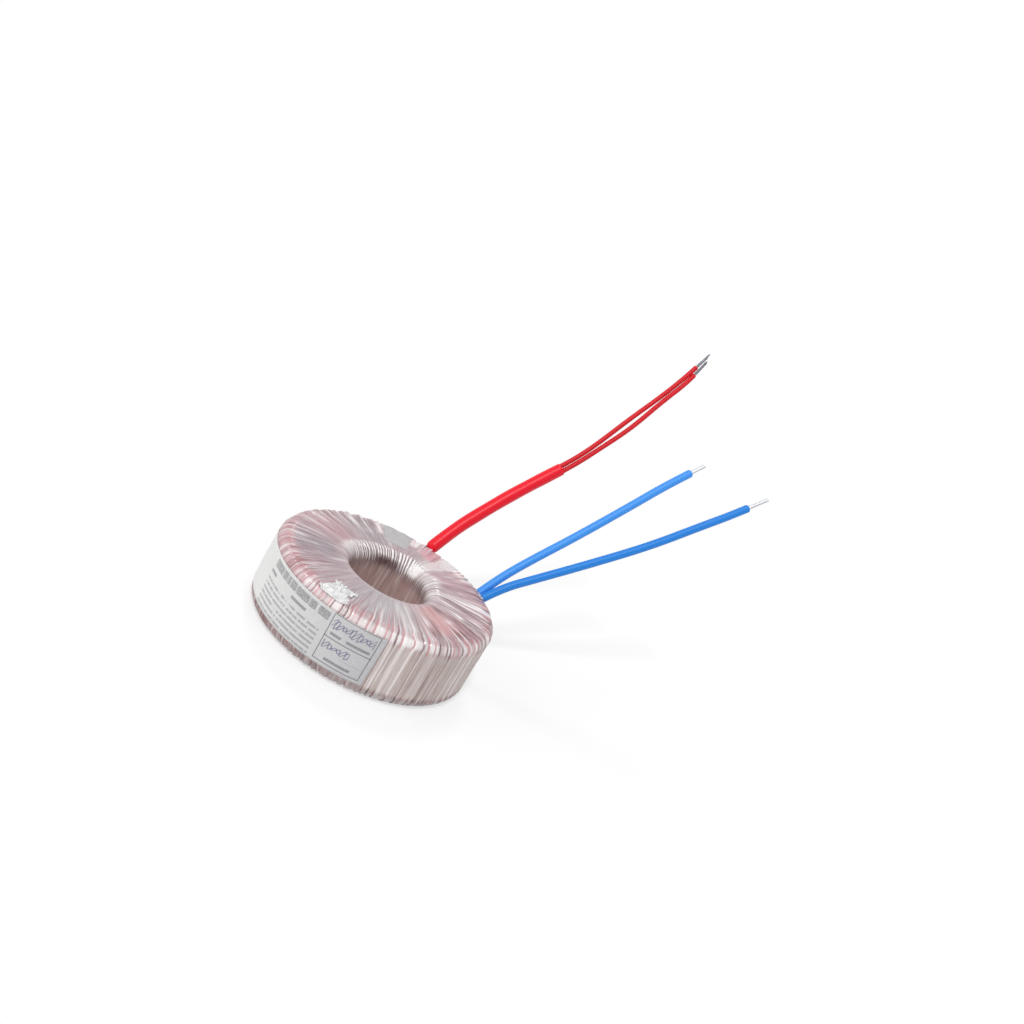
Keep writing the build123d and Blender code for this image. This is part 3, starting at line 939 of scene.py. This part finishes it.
def along_route(name, route):
    """Points along the smooth line of a route."""
    curve = bpy.data.curves.new(name + "_line", "CURVE")
    curve.dimensions = "3D"
    curve.resolution_u = 48
    spline = curve.splines.new("NURBS")
    spline.points.add(len(route) - 1)
    for point, place in zip(spline.points, route):
        point.co = (*place, 1)
    spline.order_u = 3
    spline.use_endpoint_u = True
    line = bpy.data.objects.new(name + "_line", curve)
    bpy.context.collection.objects.link(line)
    bpy.context.view_layer.update()
    mesh = bpy.data.meshes.new_from_object(line)
    points = [point.co.copy() for point in mesh.vertices]
    bpy.data.objects.remove(line)
    bpy.data.meshes.remove(mesh)
    return points


def line_lengths(points):
    return np.concatenate(([0.0], np.cumsum([(b - a).length for a, b in zip(points, points[1:])])))


def evenly_spaced(points, start, stop, spacing):
    """Distances along a line, evenly spaced from one to another, and the points there."""
    lengths = line_lengths(points)
    distances = np.linspace(start, stop, max(3, int(round((stop - start) / spacing)) + 1))
    table = np.array([tuple(point) for point in points])
    return distances, [Vector([float(np.interp(distance, lengths, table[:, axis])) for axis in range(3)])
                       for distance in distances]


def tube(name, points, distances, radius_at, sides, wall=0.0):
    """A tube round a line. radius_at gives its radius, and how high its rib is, along it and round it."""
    across = (points[1] - points[0]).orthogonal().normalized()
    places, ribs = [], []
    for index, (distance, point) in enumerate(zip(distances, points)):
        ahead = (points[min(index + 1, len(points) - 1)] - points[max(index - 1, 0)]).normalized()
        across = (across - ahead * across.dot(ahead)).normalized()
        beside = ahead.cross(across)
        for turn in range(sides):
            angle = 2 * pi * turn / sides
            radius, rib = radius_at(distance, angle)
            places.append(point + (across * cos(angle) + beside * sin(angle)) * radius)
            ribs.append(rib)
    faces = []
    for ring in range(len(points) - 1):
        first, second = ring * sides, (ring + 1) * sides
        for turn in range(sides):
            after = (turn + 1) % sides
            faces.append((first + turn, first + after, second + after, second + turn))
    if not wall:
        faces.append(tuple(range(sides))[::-1])
        faces.append(tuple((len(points) - 1) * sides + turn for turn in range(sides)))
    mesh = bpy.data.meshes.new(name)
    mesh.from_pydata([tuple(place) for place in places], [], faces)
    mesh.attributes.new("rib", "FLOAT", "POINT").data.foreach_set("value", ribs)
    piece = bpy.data.objects.new(name, mesh)
    bpy.context.collection.objects.link(piece)
    if wall:
        apply_modifier(piece, "SOLIDIFY", "wall", thickness=wall, offset=-1)
    return piece


def rounded(distance, length, radius):
    """The share of a rod's radius near its end, where the edge is rounded over."""
    left = max(length - distance, 0.0) / (0.5 * radius)
    return 1.0 if left >= 1 else 0.55 + 0.45 * (1 - (1 - left) ** 2) ** 0.5


def ribbed(diameter, depth, length):
    """A lead's radius where a fine thread of ribs runs round it, and how high the rib stands."""
    def radius_at(distance, angle):
        rib = 0.5 + 0.5 * cos(2 * pi * distance / RIB_PITCH + angle)
        return (RIB_CREST * diameter / 2 - depth * (1 - rib)) * rounded(distance, length, diameter / 2), rib
    return radius_at


def lead(name, node, route, diameter, bare, ribs, material, slot):
    """A lead's insulation, which ends where its bare tip begins."""
    points = along_route(name, route)
    length = line_lengths(points)[-1] - bare
    distances, line = evenly_spaced(points, 0, length, RIB_PITCH / 4)
    piece = tube(name, line, distances, ribbed(diameter, ribs, length), 20)
    finished(piece, material, slot, node)


def bare_stretch(name, route, bare, spacing):
    """The end of a route, from just inside the insulation: distances along the route and the points there."""
    points = along_route(name, route)
    total = line_lengths(points)[-1]
    return evenly_spaced(points, total - bare - HELD_INSIDE, total, spacing)


def solid_tip(name, node, route, bare, material):
    """The bare end of a solid wire."""
    distances, line = bare_stretch(name, route, bare, 0.2 * MM)

    def radius_at(distance, angle):
        return BLUE_WIRE / 2 * rounded(distance, distances[-1], BLUE_WIRE / 2), 0.5
    return finished(tube(name, line, distances, radius_at, 16), material, "tinned", node)


def twisted_tip(name, node, route, material):
    """A twist of tinned strands that ends unevenly."""
    distances, line = bare_stretch(name, route, RED_BARE, 0.3 * MM)
    ahead = (line[-1] - line[0]).normalized()
    across = ahead.orthogonal().normalized()
    beside = ahead.cross(across)
    strands = []
    for number in range(STRANDS):
        kept = int(len(line) * (1.0 - 0.25 * rng.random() * (number > 0)))
        lay = []
        for distance, point in zip(distances[:kept], line[:kept]):
            share = (distance - distances[0]) / (distances[-1] - distances[0])
            turn = 2 * pi * (number / STRANDS + STRAND_TURNS * share)
            away = (BUNDLE_DIAMETER - STRAND_DIAMETER) / 2 * (1 - 0.25 * share)
            lay.append(point + (across * cos(turn) + beside * sin(turn)) * away)
        strands.append(tube(f"{name}_{number}", lay, distances[:kept],
                            lambda distance, angle: (STRAND_DIAMETER / 2, 0.5), 8))
    select_only(strands[0])
    for strand in strands[1:]:
        strand.select_set(True)
    bpy.ops.object.join()
    piece = bpy.context.object
    piece.name = name
    return finished(piece, material, "tinned", node)


def sleeve(material):
    """The hollow sleeve over the roots of both red leads, narrower where it leaves the film."""
    points = along_route("red_sleeve", metres(SLEEVE_ROUTE))
    total = line_lengths(points)[-1]
    distances, line = evenly_spaced(points, 0, total, 0.6 * MM)

    def radius_at(distance, angle):
        soft = 1.03 + 0.012 * sin(distance / total * 23)
        root = min(1.0, 0.7 + distance / (2.0 * MM) * 0.3)
        return SLEEVE_DIAMETER / 2 * soft * root, 0.5
    piece = tube("red_sleeve", line, distances, radius_at, 40, wall=SLEEVE_WALL)
    finished(piece, material, "red", "red_outer_sleeve")


def red_route(side, tail):
    """A thin lead's route: from its splice along the inside of the sleeve, then free to its tip."""
    offset = RED_SIDE * (side * RED_SPACING / 2)
    inside = [point + offset for point in metres(SLEEVE_ROUTE[:-1])]
    first_run = (inside[1] - inside[0]).normalized()
    return [inside[0] + first_run * SPLICE_END, *inside[1:], *metres(tail)]


def exit_neck(name, route, diameter, end, material):
    """The film gathered round a lead where it leaves the rim, as far as end from the route's start."""
    start, after = metres(route[:2])
    ahead = (after - start).normalized()
    distances = np.linspace(NECK_START, end, 14)
    line = [start + ahead * float(distance) for distance in distances]

    def radius_at(distance, angle):
        flare = 0.35 * MM * max(0.0, 1 - (distance - NECK_START) / (4 * MM))
        gathers = 0.14 * MM * sin(7 * angle + distance * 900) + 0.08 * MM * sin(13 * angle)
        # The rib value makes the neck's finish darker and lighter in step with the gathers: painted shade in
        # their folds.
        return diameter / 2 + NECK_CLEARANCE + flare + gathers, 0.5 + 0.5 * sin(7 * angle)
    piece = tube(name, line, distances, radius_at, 48, wall=NECK_WALL)
    return finished(piece, material, "film")


def leads():
    twisted = metal_finish("tinned_strands", rgb(70, 72, 80), rgb(160, 162, 170), 0.4)
    bright = metal_finish("tinned_wire", rgb(170, 173, 180), rgb(226, 227, 232), 0.35)
    sleeve(lead_finish("red_sleeve_plastic", rgb(232, 4, 34), rgb(242, 8, 40), roughness=0.4))
    thin_red = lead_finish("red_lead_plastic", rgb(164, 4, 20), rgb(244, 14, 34))
    for number, (side, tail) in enumerate(zip((1, -1), RED_TAILS), 1):
        route = red_route(side, tail)
        tip = twisted_tip(f"red_strands_{number}", f"red_bare_end_{number}", route, twisted)
        lead(f"red_thin_lead_{number}", f"red_lead_{number}", route, RED_DIAMETER, RED_BARE, RED_RIBS,
             thin_red, "red")
    blues = (lead_finish("light_blue_plastic", rgb(56, 142, 232), rgb(72, 158, 244)),
             lead_finish("blue_plastic", rgb(20, 116, 206), rgb(36, 140, 230)))
    for number, (places, bare, ribs, blue) in enumerate(zip(BLUE_ROUTES, BLUE_BARE, BLUE_RIBS, blues), 1):
        route = metres(places)
        tip = solid_tip(f"blue_wire_{number}", f"blue_bare_end_{number}", route, bare, bright)
        lead(f"blue_insulation_{number}", f"blue_lead_{number}", route, BLUE_DIAMETER, bare, ribs, blue,
             "blue")
    exit_neck("red_exit_neck", SLEEVE_ROUTE, SLEEVE_DIAMETER, -0.6 * MM,
              lead_finish("film_over_red", rgb(150, 84, 88), rgb(216, 168, 172), 0.25))
    blue_neck = lead_finish("film_over_blue", rgb(120, 134, 168), rgb(214, 222, 238), 0.25)
    for number, places in enumerate(BLUE_ROUTES, 1):
        exit_neck(f"blue_exit_neck_{number}", places, BLUE_DIAMETER, -0.3 * MM, blue_neck)


# ================ Pieces inside ================
def inner_pieces():
    """Finishes for the solids that the film hides, which keep their form."""
    steel = hidden_finish("wound_steel", rgb(120, 122, 126), rgb(150, 152, 156), Metallic=0.9, Roughness=0.4)
    board = hidden_finish("pressboard", rgb(150, 124, 92), rgb(172, 146, 112), Roughness=0.8)
    copper = hidden_finish("enamelled_copper", rgb(176, 92, 52), rgb(206, 120, 76), Metallic=0.8,
                           Roughness=0.35)
    clear = hidden_finish("inner_film", rgb(210, 205, 200), rgb(230, 226, 222), Roughness=0.3)
    solder = hidden_finish("solder", rgb(180, 180, 186), rgb(214, 214, 220), Metallic=0.9, Roughness=0.4)
    finishes = {"steel_core": steel, "core_end_ring_top": board, "core_end_ring_bottom": board,
                "primary_winding": copper, "secondary_winding": copper, "interwinding_film": clear,
                "primary_splice_1": solder, "primary_splice_2": solder}
    for name, material in finishes.items():
        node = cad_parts[name]
        node.data.materials.clear()
        node.data.materials.append(material)


# ================ Studio ================
class Room(Finish):
    """The world's light, with the same way of adding nodes."""

    def __init__(self, world):
        self.tree = world.node_tree
        self.surface = self.tree.nodes["Background"]


def seen_directly(finish):
    """1 where a ray comes from the camera, or from a glossy or clear surface."""
    seen = finish.node("LightPath", output="Is Camera Ray")
    for kind in ("Is Glossy Ray", "Is Transmission Ray"):
        seen = seen.math("MAXIMUM", finish.node("LightPath", output=kind))
    return seen


def studio():
    bpy.ops.mesh.primitive_plane_add(size=FLOOR_SIZE)
    floor = bpy.context.object
    floor.name = "floor"
    finish = Finish("pale_floor", Base_Color=grey(1.0), Roughness=1.0, Specular_IOR_Level=0.0)
    glow = finish.node("Emission", None, {"Color": grey(1.0), "Strength": 1.0})
    surface = Value(finish, finish.surface.outputs[0])
    mixed = finish.node("MixShader", None, {0: seen_directly(finish) * FLOOR_GLOW, 1: surface, 2: glow})
    finish.feed(finish.tree.nodes["Material Output"].inputs["Surface"], mixed)
    floor.data.materials.append(finish.material)
    world = bpy.data.worlds.new("soft_room")
    world.use_nodes = True
    bpy.context.scene.world = world
    room = Room(world)
    room.set("Color", grey(1.0))
    room.set("Strength", seen_directly(room) * ROOM_SEEN + ROOM_LIGHT)
    for name, strength, width, elevation, azimuth in LAMPS:
        bpy.ops.object.light_add(type="SUN", location=(0, 0, 1))
        light = bpy.context.object
        light.name = name
        light.data.energy = strength
        light.data.angle = radians(width)
        light.rotation_euler = (radians(90 - elevation), 0, radians(azimuth + 90))


add_camera()
leads()
film_wrap()
spec_label()
tapes()
inner_pieces()
studio()
